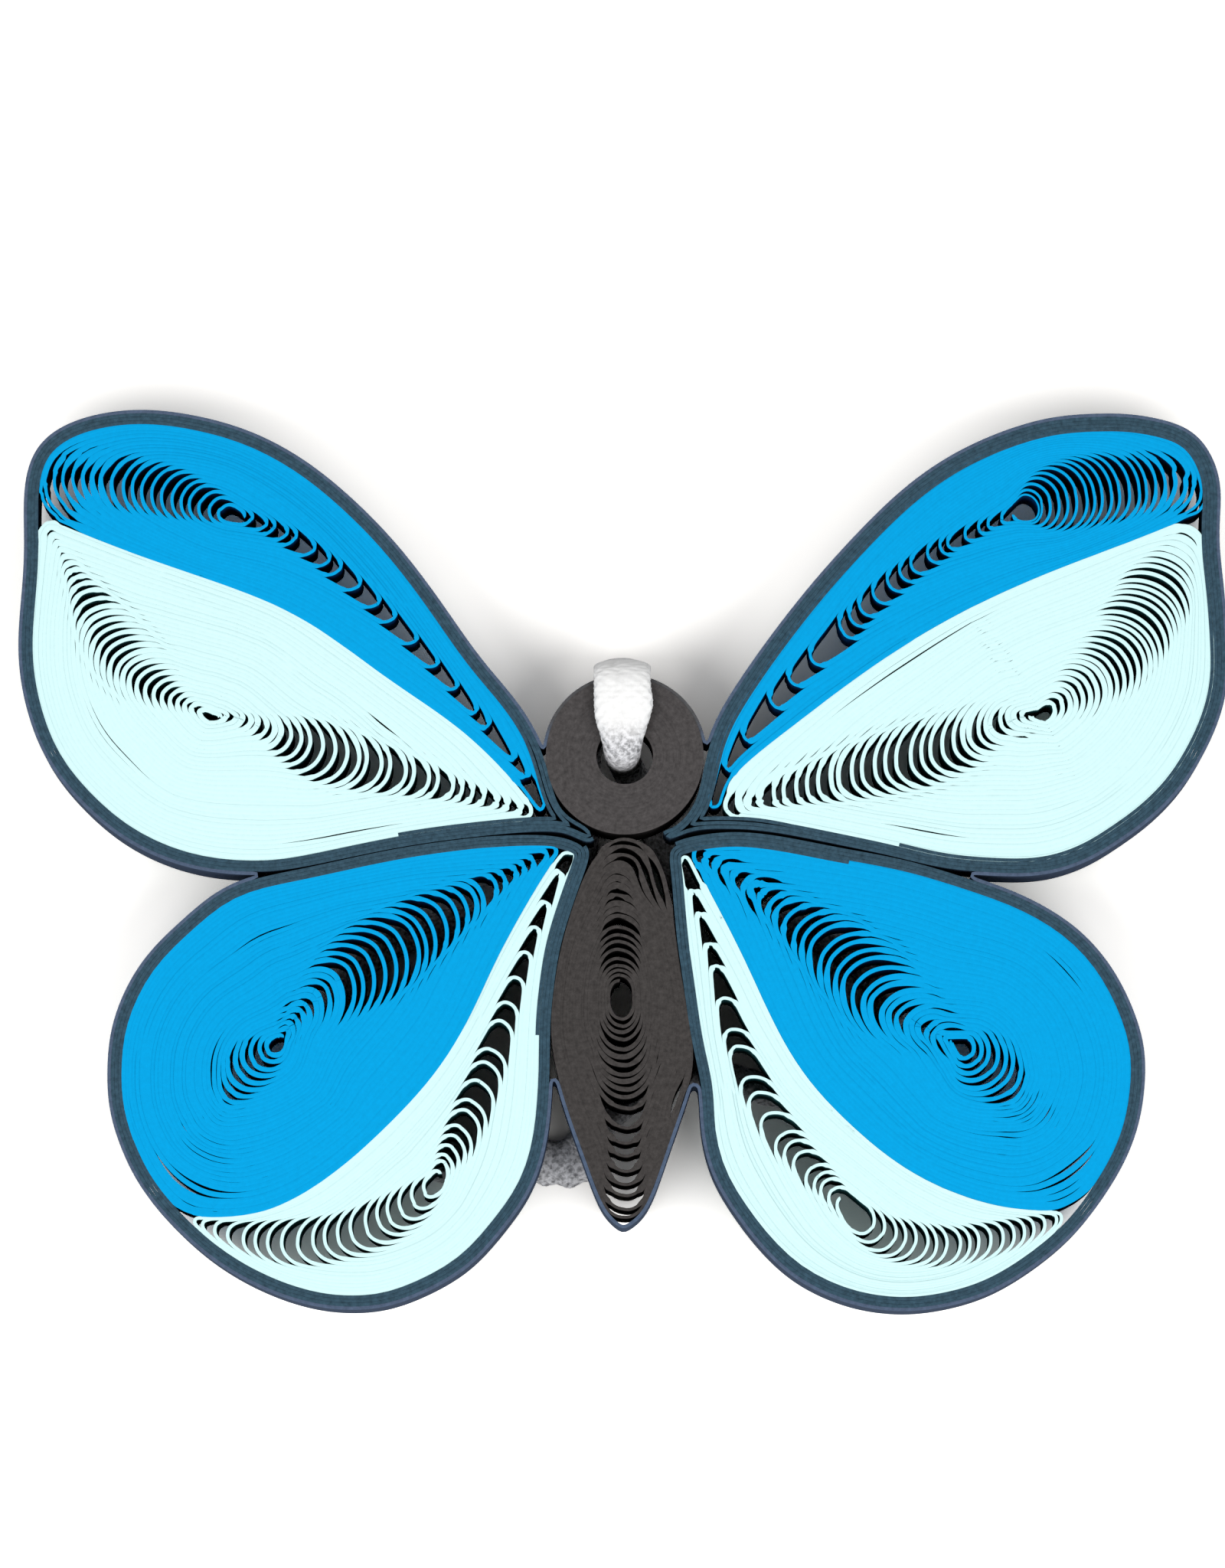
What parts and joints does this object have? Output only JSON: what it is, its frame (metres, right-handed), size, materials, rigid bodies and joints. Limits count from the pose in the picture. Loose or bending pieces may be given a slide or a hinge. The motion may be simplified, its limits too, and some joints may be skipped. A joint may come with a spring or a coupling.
{
  "type": "quilled paper butterfly",
  "caption": "Flat hanging butterfly of rolled and pinched paper coils in wrapped paper borders, with a coiled head and abdomen and a braided cord loop through the head.",
  "frame": {"origin": "centre of the paper butterfly's box, without the cord", "axes": "+X to the right wing, +Y to the head, +Z out of the front face; it lies on its back"},
  "size_m": [0.0722, 0.054, 0.0105],
  "materials": {
    "blue_paper": "matt bright blue",
    "pale_paper": "matt pale aqua",
    "slate_paper": "matt slate blue",
    "charcoal_paper": "matt charcoal",
    "silver_braid": "glossy braid"
  },
  "bodies": {
    "root": {"head_coil": "charcoal_paper", "abdomen_coil": "charcoal_paper", "perimeter_strip": "slate_paper", "upper_left_blue_coil": "blue_paper", "upper_left_pale_coil": "pale_paper", "upper_left_wing_border": "slate_paper", "upper_right_blue_coil": "blue_paper", "upper_right_pale_coil": "pale_paper", "upper_right_wing_border": "slate_paper", "lower_left_blue_coil": "blue_paper", "lower_left_pale_coil": "pale_paper", "lower_left_wing_border": "slate_paper", "lower_right_blue_coil": "blue_paper", "lower_right_pale_coil": "pale_paper", "lower_right_wing_border": "slate_paper", "hanging_cord": "silver_braid", "cord_knot": "silver_braid"}
  },
  "joints": []
}
